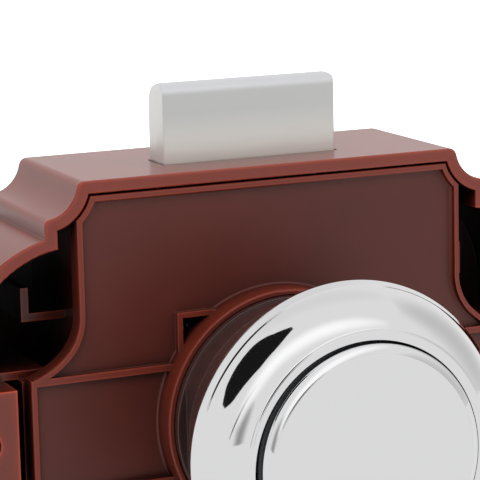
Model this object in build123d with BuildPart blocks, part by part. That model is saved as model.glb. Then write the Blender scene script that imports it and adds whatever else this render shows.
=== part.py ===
from build123d import *
from math import ceil, cos, hypot, pi, sin, sqrt
import os

os.makedirs("parts", exist_ok=True)

# Frame: X to the right, Y into the cabinet, Z the way the bolt points.
# The origin is on the barrel axis, on the face that lies against the door.

# Walls and gaps that many pieces share
wall = 1.5
back_wall = 1.6
overrun = 1.0
fit_gap = 0.3
seat_gap = 0.1
thread_gap = 0.03
head_gap = 0.2
screw_hole_gap = 0.2

# Travels of the knob
knob_travel = 9.4
knob_overtravel = 0.5

# Housing outline, seen from the door
top_height = 29.2
bottom_reach = 5.6
ledge_reach = 3.77
ogee_radius = 4.05
shoulder_corner_radius = 1.0
ledge_corner_radius = 0.9
ear_radius = 14.5
ear_drop = 20.34
front_edge_round = 0.3
inner_edge_round = 0.2
back_edge_round = 0.6

# Ear pads and their screw holes
wing_gap = 1.68
pad_width = 7.19
pad_half_height = 6.2
ear_screw_inset = 3.72
ear_screw_hole_radius = 1.6
ear_screw_head_radius = 2.8
ear_screw_seat_depth = 8.0

# Base plate
plate_thickness = 2.4
plate_recess = 0.8
plate_border = 0.65
plate_gap = 0.24
plate_reach = 2.63
plate_edge_round = 0.2
recess_foot_round = 0.35
cove_radius = 6.2
cove_outer_radius = 10.1
cove_turn_share = 0.524
cove_centre_height = 13.8
wing_reach = 6.07
rib_height = 6.7
rib_width = 0.8

# Collar round the barrel
collar_sleeve_gap = 0.33
collar_wall = 0.62
collar_reach = 2.65
collar_seat_reach = 0.2
collar_edge_round = 0.28
collar_foot_round = 0.25

# Window beside the collar
window_outer_x = 12.45
window_outer_z = 12.95
window_frame = 0.64
window_size = 5.2

# Barrel sleeve
sleeve_radius = 14.0
sleeve_flats_half_width = 13.1
sleeve_shoulder_gap = 0.09
sleeve_shoulder_reach = 3.66
sleeve_reach = 14.4
sleeve_wall = 2.0
sleeve_floor_reach = 1.5
sleeve_neck_radius = 10.4
sleeve_tail_length = 0.7
sleeve_edge_chamfer = 0.4
neck_gap = 0.1

# Retaining clip behind the plate
clip_half_width = 10.1
clip_half_height = 10.95
clip_thickness = 0.8
clip_groove_depth = 1.2
clip_hole_radius = 0.8
clip_hole_inset = 2.0

# Rosette, distances measured outwards from the door side of the housing
door_thickness = 18.5
rosette_radius = 18.9
rosette_rim_reach = 19.05
rosette_rim_round = 0.45
rosette_lip_reach = 24.65
rosette_lip_width = 1.07
rosette_lip_drop = 0.45
rosette_dome_bulge = 0.55
rosette_wall = 0.9
rosette_lip_depth = 2.3
rosette_core_gap = 0.1
rosette_thread_gap = 0.08
rosette_tube_wall = 0.87
rosette_thread_front_reach = 18.5
rosette_tube_back_reach = 8.6

# Knob
knob_radius = 13.0
knob_ring_gap = 0.35
knob_edge_drop = 1.15
knob_face_reach = 25.6
knob_edge_width = 0.75
knob_face_step = 0.12
knob_skirt_gap = 1.2
knob_wall = 0.85
knob_core_gap = 0.1
knob_core_thickness = 3.5
knob_hub_wall = 0.79
knob_hub_length = 5.3
knob_pin_radius = 1.0
knob_pin_inset = 2.75
knob_pin_end_gap = 0.3

# Tappet
tappet_width = 10.0
tappet_fit = 0.1
tappet_edge_round = 0.6
tappet_end_gap = 0.2
cam_reach = 4.0
cam_depth = 5.4
cam_carriage_gap = 0.9
cam_start_height = 0.8
cam_clearance = 0.15

# Heart track on top of the tappet
track_recess_half_width = 3.6
track_recess_depth = 1.9
track_depth = 1.2
track_recess_front_depth = 4.3
follower_radius = 0.5
follower_drop = 1.0
follower_pivot_inset = 1.2
follower_tip_depth = 6.0
follower_tip_gap = 0.3
follower_bend_radius = 1.0
follower_fit = 0.05
bracket_half_width = 2.2
bracket_gap = 0.3
bracket_height = 4.2
bracket_length = 2.3
follower_leg_inset = 1.0

# Bolt
bolt_half_width = 11.12
bolt_draft = 0.12
bolt_draft_share = 0.43
bolt_tail_gap = 2.6
bolt_thickness = 4.5
bolt_reach = 9.35
bolt_nose_front_drop = 1.33
bolt_nose_back_drop = 3.5
bolt_nose_share = 0.42
bolt_edge_round = 0.25
bolt_end_round = 0.9
bolt_notch_rise = 1.2
bolt_slot_gap = 0.2
arm_thickness = 2.4

# Carriage
carriage_head_room = 0.8
carriage_inner_wall_gap = 0.88
carriage_inner_wall = 1.2
spring_pocket_width = 6.5
carriage_side_wall = 1.9
carriage_bottom_height = -2.0
carriage_floor_height = 3.4
carriage_hook_gap = 0.1
carriage_hook_thickness = 1.4
carriage_hook_reach = 4.6
carriage_back_wall = 1.5
carriage_run_gap = 0.4
cam_rib_gap = 0.6
cam_rib_tail_gap = 0.6
cam_rib_back_inset = 0.9
bar_gap = 0.4
bar_thickness = 2.8
keeper_thickness = 1.3
keeper_bridge_drop = 1.0
keeper_screw_height = 0.7

# Springs
spring_radius = 1.9
spring_wire_radius = 0.25
spring_seat_gap = 0.05
bolt_spring_turns = 12
carriage_spring_turns = 10
knob_spring_wire_radius = 0.5
knob_spring_turns = 7
peg_radius = 1.2
peg_length = 2.0

# Screws and bosses
boss_radius = 2.5
side_boss_reach = 2.07
side_boss_height = 0.0
lower_boss_inset = 2.33
lower_boss_gap = 1.5
boss_pad_rim = 0.8
boss_pad_thickness = 1.3
plate_screw_radius = 1.45
plate_screw_head_radius = 2.6
plate_screw_head_height = 1.3
plate_screw_length = 12.0
keeper_screw_radius = 1.0
keeper_screw_head_radius = 1.8
keeper_screw_head_height = 0.8
keeper_screw_length = 5.0
cross_slot_share = 0.28
cross_depth_share = 0.55

# Ribs inside the housing
guide_rib_thickness = 1.4
guide_rib_front_depth = 4.0
guide_rib_bottom_height = -10.5
guide_rib_drop = 5.2
pocket_rib_front_depth = 8.0
pocket_rib_thickness = 0.95
pocket_rib_reach = 4.42
pocket_rib_bottom_height = 12.1
pocket_rib_top_height = 16.1
slot_rib_thickness = 0.8
slot_rib_front_depth = 3.5
pad_shelf_length = 4.98
pad_shelf_front_depth = 5.0
pad_shelf_thickness = 0.95
ledge_half_length = 19.0
ledge_depth = 1.4
ledge_height = 1.4

# Widths, worked out from the middle outwards
cam_rib_inner_x = tappet_width / 2 + cam_rib_gap
cam_half_width = tappet_width / 2 + cam_reach
cam_gap = cam_half_width + fit_gap
carriage_window_half_width = cam_gap + seat_gap
keeper_window_half_width = carriage_window_half_width + fit_gap + seat_gap
carriage_inner_wall_x = bolt_half_width + carriage_inner_wall_gap
pocket_inner_x = carriage_inner_wall_x + carriage_inner_wall
side_inner_x = pocket_inner_x + spring_pocket_width
spring_x = (pocket_inner_x + side_inner_x) / 2
arm_half_width = side_inner_x - fit_gap
carriage_half_width = side_inner_x + carriage_side_wall
guide_inner_x = carriage_half_width + fit_gap
plate_half_width = carriage_half_width + plate_reach
wing_half_width = plate_half_width + wing_reach
ledge_half_width = plate_half_width + ledge_reach
pad_inner_x = wing_half_width + wing_gap
ear_half_width = pad_inner_x + pad_width
ear_screw_x = pad_inner_x + ear_screw_inset
side_boss_x = plate_half_width + side_boss_reach
lower_boss_x = plate_half_width - lower_boss_inset

# Depths, worked out from the door side inwards
clip_front_depth = plate_thickness + seat_gap
clip_back_depth = clip_front_depth + clip_thickness
sleeve_tail_depth = clip_back_depth + sleeve_tail_length
cam_rib_front_depth = sleeve_tail_depth + cam_rib_tail_gap
bolt_front_depth = sleeve_tail_depth + bolt_tail_gap
bolt_back_depth = bolt_front_depth + bolt_thickness
spring_depth = (bolt_front_depth + bolt_back_depth) / 2
keeper_back_depth = bolt_front_depth - fit_gap
carriage_front_depth = keeper_back_depth - keeper_thickness
carriage_back_inner = bolt_back_depth + fit_gap
carriage_back_depth = carriage_back_inner + carriage_back_wall
cam_front_depth = carriage_back_depth + cam_carriage_gap
cam_back_depth = cam_front_depth + cam_depth
back_inner = cam_back_depth + knob_overtravel + tappet_end_gap
shell_depth = back_inner + back_wall
follower_pivot_depth = back_inner - follower_pivot_inset
bracket_front_depth = back_inner - bracket_length
cam_rib_back_depth = back_inner - cam_rib_back_inset
boss_end = back_inner - boss_pad_thickness

# Heights, worked out from the top downwards
plate_top = top_height - wall - plate_gap
ear_centre_height = top_height - ear_drop
bolt_top_height = top_height + bolt_reach
carriage_top_height = top_height - wall - carriage_head_room
hook_bottom_height = carriage_top_height - carriage_hook_thickness
arm_top_height = hook_bottom_height - carriage_hook_gap
arm_bottom_height = arm_top_height - arm_thickness
bolt_notch_height = arm_bottom_height + bolt_notch_rise
keeper_bridge_height = arm_bottom_height - keeper_bridge_drop
carriage_inner_wall_height = arm_bottom_height - knob_travel - carriage_run_gap
carriage_window_height = tappet_width / 2 + knob_travel + carriage_run_gap
lower_boss_height = carriage_bottom_height - knob_travel - lower_boss_gap - boss_radius
housing_bottom_height = lower_boss_height - bottom_reach
housing_floor = housing_bottom_height + wall
plate_bottom_height = housing_floor + plate_gap
cam_plane = cam_front_depth + cam_start_height
carriage_cam_plane = cam_plane - cam_clearance
track_floor = tappet_width / 2 - track_recess_depth
follower_height = tappet_width / 2 - follower_drop
follower_tip_height = track_floor - track_depth + follower_tip_gap
bracket_bottom_height = follower_height + follower_radius + bracket_gap
bar_top_height = -tappet_width / 2 - bar_gap
cam_rib_bottom_height = bar_top_height - bar_thickness
bracket_top_height = bracket_bottom_height + bracket_height
follower_top_height = bracket_top_height - follower_leg_inset

# Radii and reaches of the barrel's pieces
collar_bore_radius = sleeve_radius + collar_sleeve_gap
collar_radius = collar_bore_radius + collar_wall
sleeve_shoulder_radius = collar_bore_radius - sleeve_shoulder_gap
sleeve_bore_radius = sleeve_radius - sleeve_wall
knob_hub_radius = (tappet_width / 2 + tappet_fit) * sqrt(2) + knob_hub_wall
knob_spring_radius = (knob_hub_radius + sleeve_bore_radius) / 2
clip_groove_radius = sleeve_neck_radius - clip_groove_depth
rosette_bore_radius = knob_radius + knob_ring_gap
rosette_lip_radius = rosette_bore_radius + rosette_lip_width
rosette_lip_foot_reach = rosette_lip_reach - rosette_lip_drop
rosette_thread_radius = sleeve_radius + rosette_thread_gap
rosette_tube_radius = rosette_thread_radius + rosette_tube_wall
knob_face_radius = knob_radius - knob_edge_width
knob_edge_reach = knob_face_reach - knob_edge_drop
knob_skirt_reach = sleeve_reach + knob_skirt_gap
knob_core_front_reach = knob_face_reach - knob_wall - knob_core_gap
knob_core_back_reach = knob_core_front_reach - knob_core_thickness
knob_hub_back_reach = knob_core_back_reach - knob_hub_length
knob_pin_reach = knob_core_back_reach - knob_pin_inset
tappet_front_reach = knob_core_back_reach - seat_gap
screw_places = [
    (-side_boss_x, side_boss_height), (side_boss_x, side_boss_height),
    (-lower_boss_x, lower_boss_height), (lower_boss_x, lower_boss_height),
]


def at_depth(depth):
    # Sketch plane across the barrel axis: its x is X and its y is Z
    return Plane.XZ.offset(-depth)


def finish(piece, name):
    piece.part.label = name
    export_step(piece.part, "parts/" + name + ".step")


def box_between(low, high, mode=Mode.ADD):
    # Box of the open builder from its low corner to its high corner
    size = [b - a for a, b in zip(low, high)]
    middle = [(a + b) / 2 for a, b in zip(low, high)]
    with Locations(tuple(middle)):
        Box(*size, mode=mode)


def both_sides_box(inner, outer, depths, heights, mode=Mode.ADD):
    # The same box on the left and on the right
    box_between((inner, depths[0], heights[0]), (outer, depths[1], heights[1]), mode)
    box_between((-outer, depths[0], heights[0]), (-inner, depths[1], heights[1]), mode)


def rod(place, radius, start, end, mode=Mode.ADD):
    # Cylinder along Y through the point place in XZ
    with BuildSketch(at_depth(start)) as profile:
        with Locations(place):
            Circle(radius)
    extrude(profile.sketch, amount=start - end, mode=mode)


def upright_rod(place, radius, start, end, mode=Mode.ADD):
    # Cylinder along Z through the point place in XY
    with BuildSketch(Plane.XY.offset(start)) as profile:
        with Locations(place):
            Circle(radius)
    extrude(profile.sketch, amount=end - start, mode=mode)


def edges_at_depth(piece, depth):
    # Edges of a piece that lie whole in the plane across the barrel axis at a depth
    return piece.edges().filter_by(
        lambda edge: abs(edge.bounding_box().min.Y - depth) < seat_gap / 2
        and abs(edge.bounding_box().max.Y - depth) < seat_gap / 2
    )


def beside(radius, rise):
    # How far beside its centre a circle passes at a rise above or below it
    return sqrt(radius**2 - rise**2)


def towards(start, end, reach):
    # Point at a distance from the start on the way to the end
    share = reach / hypot(end[0] - start[0], end[1] - start[1])
    return start[0] + (end[0] - start[0]) * share, start[1] + (end[1] - start[1]) * share


def arc_between(centre, start, end):
    # Short arc about a centre between two points
    half = Vector(*start) + Vector(*end) - 2 * Vector(*centre)
    radius = hypot(start[0] - centre[0], start[1] - centre[1])
    middle = Vector(*centre) + half.normalized() * radius
    ThreePointArc(start, (middle.X, middle.Y), end)


def shell_outline(inset):
    # Outline of the housing, or the same moved inwards: top, ogee shoulder, ledge, ear, round foot
    ogee = (ledge_half_width, top_height)
    ogee_out = ogee_radius + inset
    ear = (ear_half_width - ear_radius, ear_centre_height)
    ear_out = ear_radius - inset
    side = ear_half_width - inset
    flank = ledge_half_width - inset
    top = top_height - inset
    foot = housing_bottom_height + inset
    foot_centre = (ear[0], housing_bottom_height + ear_radius)
    flank_end = (flank, ear[1] + beside(ear_out, flank - ear[0]))
    top_reach = ogee_radius + shoulder_corner_radius
    top_centre = (ogee[0] - beside(top_reach, shoulder_corner_radius), top_height - shoulder_corner_radius)
    low_reach = ogee_radius + ledge_corner_radius
    low_centre = (ogee[0] - ledge_corner_radius, ogee[1] - beside(low_reach, ledge_corner_radius))
    with BuildSketch() as outline:
        with BuildLine():
            if inset < min(shoulder_corner_radius, ledge_corner_radius):
                # Convex corners that roll into the hollow of the ogee
                ogee_start = towards(top_centre, ogee, shoulder_corner_radius - inset)
                ogee_end = towards(low_centre, ogee, ledge_corner_radius - inset)
                Line((0, top), (top_centre[0], top))
                arc_between(top_centre, (top_centre[0], top), ogee_start)
                arc_between(low_centre, ogee_end, (flank, low_centre[1]))
                Line((flank, low_centre[1]), flank_end)
            else:
                ogee_start = (ogee[0] - beside(ogee_out, inset), top)
                ogee_end = (flank, ogee[1] - beside(ogee_out, inset))
                Line((0, top), ogee_start)
                Line(ogee_end, flank_end)
            arc_between(ogee, ogee_start, ogee_end)
            arc_between(ear, flank_end, (side, ear[1]))
            Line((side, ear[1]), (side, foot_centre[1]))
            arc_between(foot_centre, (side, foot_centre[1]), (ear[0], foot))
            Line((ear[0], foot), (0, foot))
            Line((0, foot), (0, top))
        make_face()
        mirror(about=Plane.YZ)
    return outline.sketch


def plate_outline(inset):
    # Outline of the base plate, or the same moved inwards: hollow upper corners, coves beside the wings
    turn = cove_turn_share * pi / 2
    ogee = (ledge_half_width, top_height)
    ogee_out = ogee_radius + wall + plate_gap + inset
    top = plate_top - inset
    side = plate_half_width - inset
    wing = wing_half_width - inset
    foot = plate_bottom_height + inset
    cove = (plate_half_width + cove_radius, cove_centre_height)
    further = cove_outer_radius - cove_radius
    outer_cove = (cove[0] + further * cos(turn), cove[1] + further * sin(turn))
    meet_x = cove[0] - (cove_radius + inset) * cos(turn)
    meet_z = cove[1] - (cove_radius + inset) * sin(turn)
    wing_z = outer_cove[1] - beside(cove_outer_radius + inset, outer_cove[0] - wing)
    corner_start = (ogee[0] - beside(ogee_out, ogee[1] - top), top)
    corner_end = (side, ogee[1] - beside(ogee_out, ogee[0] - side))
    with BuildSketch() as outline:
        with BuildLine():
            Line((0, top), corner_start)
            arc_between(ogee, corner_start, corner_end)
            Line(corner_end, (side, cove[1]))
            for up in (1, -1):
                arc_between((cove[0], up * cove[1]), (side, up * cove[1]), (meet_x, up * meet_z))
                arc_between((outer_cove[0], up * outer_cove[1]), (meet_x, up * meet_z), (wing, up * wing_z))
            Line((wing, wing_z), (wing, -wing_z))
            Line((side, -cove[1]), (side, foot))
            Line((side, foot), (0, foot))
            Line((0, foot), (0, top))
        make_face()
        mirror(about=Plane.YZ)
    return outline.sketch


def spring_points(radius, length, turns, share):
    # Point and direction of the helix at a share of its length, about Z from zero
    angle = 2 * pi * turns * share
    slope = length / (2 * pi * turns)
    point = Vector(radius * cos(angle), radius * sin(angle), length * share)
    return point, Vector(-radius * sin(angle), radius * cos(angle), slope).normalized()


def spring(place, radius, wire_radius, length, turns):
    # One unbroken wire along a helix, each quarter turn of it two arcs that meet smoothly
    quarters = ceil(4 * turns)
    with BuildPart() as coil:
        with BuildLine() as path:
            for quarter in range(quarters):
                start, start_way = spring_points(radius, length, turns, quarter / quarters)
                end, end_way = spring_points(radius, length, turns, (quarter + 1) / quarters)
                chord = end - start
                ways = start_way + end_way
                a = 2 * (1 - start_way.dot(end_way))
                b = 2 * chord.dot(ways)
                reach = (sqrt(b * b + 4 * a * chord.dot(chord)) - b) / (2 * a)
                first = start + start_way * reach
                second = end - end_way * reach
                meet = (first + second) * 0.5
                TangentArc(start, meet, tangent=start_way)
                TangentArc(meet, end, tangent=second - first)
        begin, begin_way = spring_points(radius, length, turns, 0)
        with BuildSketch(Plane(origin=begin, z_dir=begin_way)):
            Circle(wire_radius)
        sweep(path=path.wires()[0])
    # Least gap between the wire and itself, measured on points half a turn to two turns apart
    steps = 16
    spots = [spring_points(radius, length, turns, step / (steps * turns))[0] for step in range(3 * steps)]
    apart = [
        (spots[a] - spots[b]).length
        for a in range(steps) for b in range(a + steps // 2, a + 2 * steps)
    ]
    print("spring of", turns, "turns, least gap to itself", round(min(apart) - 2 * wire_radius, 3), "mm")
    return coil.part.moved(place)


# Housing shell
with BuildPart() as housing_shell:
    with BuildSketch(at_depth(0)):
        add(shell_outline(0))
    extrude(amount=-shell_depth)
    fillet(edges_at_depth(housing_shell, 0), radius=front_edge_round)
    fillet(edges_at_depth(housing_shell, shell_depth), radius=back_edge_round)
    with BuildSketch(at_depth(0)):
        add(shell_outline(wall))
    extrude(amount=-back_inner, mode=Mode.SUBTRACT)
    fillet(housing_shell.faces().sort_by(Axis.Y)[0].inner_wires()[0].edges(), radius=inner_edge_round)
    # Ear pads, joined to the side walls and the back wall, with a shelf above and below
    both_sides_box(
        pad_inner_x, ear_half_width - wall / 2,
        (0, back_inner + back_wall / 2), (-pad_half_height, pad_half_height),
    )
    for low_z, high_z in (
        (pad_half_height, pad_half_height + pad_shelf_thickness),
        (-pad_half_height - pad_shelf_thickness, -pad_half_height),
    ):
        both_sides_box(
            pad_inner_x - pad_shelf_length, pad_inner_x + pad_shelf_thickness,
            (pad_shelf_front_depth, back_inner), (low_z, high_z),
        )
    # Ribs that guide the carriage
    both_sides_box(
        guide_inner_x, guide_inner_x + guide_rib_thickness,
        (guide_rib_front_depth, back_inner), (guide_rib_bottom_height, top_height - guide_rib_drop),
    )
    # Ribs that show in the corner pockets and in the slot beside the ear pads
    pocket_rib_x = plate_half_width + pocket_rib_reach
    for low_z, high_z in (
        (pocket_rib_bottom_height, pocket_rib_bottom_height + pocket_rib_thickness),
        (-pocket_rib_bottom_height - pocket_rib_thickness, -pocket_rib_bottom_height),
    ):
        both_sides_box(
            guide_inner_x + guide_rib_thickness, pocket_rib_x,
            (pocket_rib_front_depth, back_inner), (low_z, high_z),
        )
    both_sides_box(
        pocket_rib_x - pocket_rib_thickness, pocket_rib_x,
        (pocket_rib_front_depth, back_inner), (pocket_rib_bottom_height, pocket_rib_top_height),
    )
    both_sides_box(
        wing_half_width - slot_rib_thickness, wing_half_width,
        (slot_rib_front_depth, back_inner), (-pad_half_height, pad_half_height),
    )
    # Ledge under the plate's top edge
    box_between(
        (-ledge_half_length, plate_thickness + seat_gap, top_height - wall - ledge_height),
        (ledge_half_length, plate_thickness + seat_gap + ledge_depth, top_height - wall / 2),
    )
    # Pegs that hold the carriage springs
    for side in (-1, 1):
        place = (side * spring_x, spring_depth)
        upright_rod(place, peg_radius, housing_floor - wall / 2, housing_floor + peg_length)
    # Bracket of the follower wire on the back wall
    box_between(
        (-bracket_half_width, bracket_front_depth, bracket_bottom_height),
        (bracket_half_width, back_inner, bracket_top_height),
    )
    upright_rod(
        (0, follower_pivot_depth), follower_radius + follower_fit,
        bracket_bottom_height - overrun, follower_top_height + seat_gap, Mode.SUBTRACT,
    )
    # Slot for the bolt
    slot_x = bolt_half_width + bolt_slot_gap
    box_between(
        (-slot_x, bolt_front_depth - bolt_slot_gap, top_height - wall - overrun),
        (slot_x, bolt_back_depth + bolt_slot_gap, top_height + overrun),
        Mode.SUBTRACT,
    )
    # Seats of the four cover screws in the back wall
    for place in screw_places:
        rod(place, plate_screw_head_radius + head_gap + boss_pad_rim / 2, boss_end, back_inner)
        rod(place, plate_screw_radius + screw_hole_gap, boss_end - overrun,
            shell_depth + overrun, Mode.SUBTRACT)
        rod(place, plate_screw_head_radius + head_gap, shell_depth - plate_screw_head_height,
            shell_depth + overrun, Mode.SUBTRACT)
    # Screw holes through the ears, with deep head seats from the back
    for side in (-1, 1):
        rod((side * ear_screw_x, 0), ear_screw_hole_radius, -overrun, shell_depth + overrun, Mode.SUBTRACT)
        rod((side * ear_screw_x, 0), ear_screw_head_radius, ear_screw_seat_depth,
            shell_depth + overrun, Mode.SUBTRACT)
finish(housing_shell, "housing_shell")

# Base plate
with BuildPart() as base_plate:
    with BuildSketch(at_depth(0)):
        add(plate_outline(0))
    extrude(amount=-plate_thickness)
    fillet(edges_at_depth(base_plate, 0), radius=plate_edge_round)
    with BuildSketch(at_depth(0)):
        add(plate_outline(plate_border))
    extrude(amount=-plate_recess, mode=Mode.SUBTRACT)
    fillet(edges_at_depth(base_plate, plate_recess), radius=recess_foot_round)
    # Two ribs from the border to the collar
    for rib_z in (rib_height, -rib_height):
        box_between(
            (-wing_half_width + plate_border / 2, 0, rib_z - rib_width / 2),
            (wing_half_width - plate_border / 2, plate_thickness, rib_z + rib_width / 2),
        )
    # Window frame and window
    window_low = (-window_outer_x + window_frame, window_outer_z - window_frame - window_size)
    window_high = (window_low[0] + window_size, window_low[1] + window_size)
    box_between(
        (-window_outer_x, 0, window_low[1]),
        (window_high[0], plate_thickness, window_outer_z),
    )
    # Round foot of the collar, then the window, then the collar itself, with its seat for the sleeve
    foot_end = collar_radius + collar_foot_round
    foot_top = plate_recess - collar_foot_round
    with BuildSketch(Plane.XY):
        with BuildLine():
            Line((collar_radius, foot_top), (collar_radius, plate_recess))
            Line((collar_radius, plate_recess), (foot_end, plate_recess))
            arc_between((foot_end, foot_top), (foot_end, plate_recess), (collar_radius, foot_top))
        make_face()
    revolve(axis=Axis.Y)
    box_between(
        (window_low[0], -overrun, window_low[1]),
        (window_high[0], plate_thickness + overrun, window_high[1]),
        Mode.SUBTRACT,
    )
    rod((0, 0), collar_radius, -collar_reach, plate_thickness)
    fillet(base_plate.edges().filter_by(GeomType.CIRCLE).filter_by(
        lambda e: abs(e.center().Y + collar_reach) < seat_gap), radius=collar_edge_round)
    rod((0, 0), collar_bore_radius, -collar_reach - overrun, -collar_seat_reach, Mode.SUBTRACT)
    rod((0, 0), sleeve_neck_radius + neck_gap, -collar_reach, plate_thickness + overrun, Mode.SUBTRACT)
    # Bosses for the four cover screws
    for place in screw_places:
        rod(place, boss_radius, plate_thickness, boss_end)
        rod(place, plate_screw_radius + thread_gap, plate_thickness, boss_end + overrun, Mode.SUBTRACT)
finish(base_plate, "base_plate")

# Barrel sleeve: round with two flats, a spring floor and a square guide for the tappet
with BuildPart() as barrel_sleeve:
    with BuildSketch(at_depth(-sleeve_reach)):
        Circle(sleeve_radius)
        Rectangle(2 * sleeve_flats_half_width, 2 * sleeve_radius, mode=Mode.INTERSECT)
    extrude(amount=-(sleeve_reach - collar_seat_reach))
    chamfer(barrel_sleeve.faces().sort_by(Axis.Y)[0].edges(), length=sleeve_edge_chamfer)
    rod((0, 0), sleeve_shoulder_radius, -sleeve_shoulder_reach, -collar_seat_reach)
    rod((0, 0), sleeve_neck_radius, -collar_seat_reach, sleeve_tail_depth)
    rod((0, 0), sleeve_bore_radius, -sleeve_reach - overrun, -sleeve_floor_reach, Mode.SUBTRACT)
    with BuildSketch(at_depth(-sleeve_floor_reach)):
        Rectangle(tappet_width + 2 * tappet_fit, tappet_width + 2 * tappet_fit)
    extrude(amount=-(sleeve_floor_reach + sleeve_tail_depth + overrun), mode=Mode.SUBTRACT)
    with BuildSketch(at_depth(clip_front_depth - seat_gap / 2)):
        Circle(sleeve_neck_radius + overrun)
        Circle(clip_groove_radius, mode=Mode.SUBTRACT)
    extrude(amount=-(clip_thickness + seat_gap), mode=Mode.SUBTRACT)
finish(barrel_sleeve, "barrel_sleeve")

# Retaining clip: nearly square spring steel fork in the sleeve's groove
with BuildPart() as retaining_clip:
    with BuildSketch(at_depth(clip_front_depth)):
        Rectangle(2 * clip_half_width, 2 * clip_half_height)
        Circle(clip_groove_radius + seat_gap, mode=Mode.SUBTRACT)
        with Locations((0, -clip_half_height)):
            Rectangle(2 * (clip_groove_radius + seat_gap), 2 * clip_half_height, mode=Mode.SUBTRACT)
        hole_x = clip_half_width - clip_hole_inset
        hole_z = clip_half_height - clip_hole_inset
        with Locations((-hole_x, hole_z), (hole_x, hole_z)):
            Circle(clip_hole_radius, mode=Mode.SUBTRACT)
    extrude(amount=-clip_thickness)
finish(retaining_clip, "retaining_clip")

# Rosette: chromed shell over a threaded core, profiles turned about the barrel axis
lip_middle = (rosette_lip_radius + rosette_bore_radius) / 2
rim_inner = rosette_radius - rosette_wall
rim_top = rosette_rim_reach + rosette_rim_round
dome_start = (rosette_radius - rosette_rim_round, -rim_top)
dome_end = (rosette_lip_radius, -rosette_lip_foot_reach)
bore_end = (rosette_bore_radius, -rosette_lip_foot_reach)
dome_length = hypot(dome_start[0] - dome_end[0], dome_start[1] - dome_end[1])
dome_middle = (
    (dome_start[0] + dome_end[0]) / 2 + rosette_dome_bulge * (dome_start[1] - dome_end[1]) / dome_length,
    (dome_start[1] + dome_end[1]) / 2 - rosette_dome_bulge * (dome_start[0] - dome_end[0]) / dome_length,
)
lip_back = rosette_lip_reach - rosette_lip_depth
cone_wall = rosette_bore_radius + rosette_wall
with BuildPart() as rosette_cap:
    with BuildSketch(Plane.XY):
        with BuildLine():
            Line((rim_inner, -door_thickness), (rosette_radius, -door_thickness))
            Line((rosette_radius, -door_thickness), (rosette_radius, -rosette_rim_reach))
            TangentArc((rosette_radius, -rosette_rim_reach), dome_start, tangent=(0, -1))
            ThreePointArc(dome_start, dome_middle, dome_end)
            ThreePointArc(dome_end, (lip_middle, -rosette_lip_reach), bore_end)
            Line(bore_end, (rosette_bore_radius, -lip_back))
            Line((rosette_bore_radius, -lip_back), (cone_wall, -lip_back))
            Line((cone_wall, -lip_back), (rim_inner, -rosette_rim_reach))
            Line((rim_inner, -rosette_rim_reach), (rim_inner, -door_thickness))
        make_face()
    revolve(axis=Axis.Y)
finish(rosette_cap, "rosette_cap")

core_rim = rim_inner - rosette_core_gap
core_top = lip_back - rosette_core_gap
core_cone = cone_wall - rosette_core_gap
with BuildPart() as rosette_core:
    with BuildSketch(Plane.XY):
        with BuildLine():
            Polyline(
                (rosette_thread_radius, -rosette_tube_back_reach),
                (rosette_tube_radius, -rosette_tube_back_reach),
                (rosette_tube_radius, -door_thickness),
                (core_rim, -door_thickness),
                (core_rim, -rosette_rim_reach + rosette_core_gap),
                (core_cone, -core_top),
                (rosette_bore_radius, -core_top),
                (rosette_bore_radius, -rosette_thread_front_reach),
                (rosette_thread_radius, -rosette_thread_front_reach),
                close=True,
            )
        make_face()
    revolve(axis=Axis.Y)
finish(rosette_core, "rosette_core")

# Knob: chromed cap pressed on a plastic core
cap_inner = knob_radius - knob_wall
with BuildPart() as knob_cap:
    with BuildSketch(Plane.XY):
        with BuildLine():
            Line((cap_inner, -knob_skirt_reach), (knob_radius, -knob_skirt_reach))
            Line((knob_radius, -knob_skirt_reach), (knob_radius, -knob_edge_reach))
            shoulder = (knob_face_radius, -knob_face_reach + knob_face_step)
            TangentArc((knob_radius, -knob_edge_reach), shoulder, tangent=(0, -1))
            Line(shoulder, (knob_face_radius - knob_face_step, -knob_face_reach))
            Line((knob_face_radius - knob_face_step, -knob_face_reach), (0, -knob_face_reach))
            Line((0, -knob_face_reach), (0, -knob_face_reach + knob_wall))
            Line((0, -knob_face_reach + knob_wall), (cap_inner, -knob_face_reach + knob_wall))
            Line((cap_inner, -knob_face_reach + knob_wall), (cap_inner, -knob_skirt_reach))
        make_face()
    revolve(axis=Axis.Y)
finish(knob_cap, "knob_cap")

with BuildPart() as knob_core:
    rod((0, 0), cap_inner - knob_core_gap, -knob_core_front_reach, -knob_core_back_reach)
    rod((0, 0), knob_hub_radius, -knob_core_back_reach, -knob_hub_back_reach)
    with BuildSketch(at_depth(-knob_core_back_reach)):
        Rectangle(tappet_width + 2 * tappet_fit, tappet_width + 2 * tappet_fit)
    extrude(amount=-(knob_hub_length + overrun), mode=Mode.SUBTRACT)
    with BuildSketch(Plane.YZ):
        with Locations((-knob_pin_reach, 0)):
            Circle(knob_pin_radius + thread_gap)
    extrude(amount=knob_hub_radius + overrun, both=True, mode=Mode.SUBTRACT)
finish(knob_core, "knob_core")

with BuildPart() as knob_pin:
    with BuildSketch(Plane.YZ):
        with Locations((-knob_pin_reach, 0)):
            Circle(knob_pin_radius)
    extrude(amount=knob_hub_radius - knob_pin_end_gap, both=True)
finish(knob_pin, "knob_pin")

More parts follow.
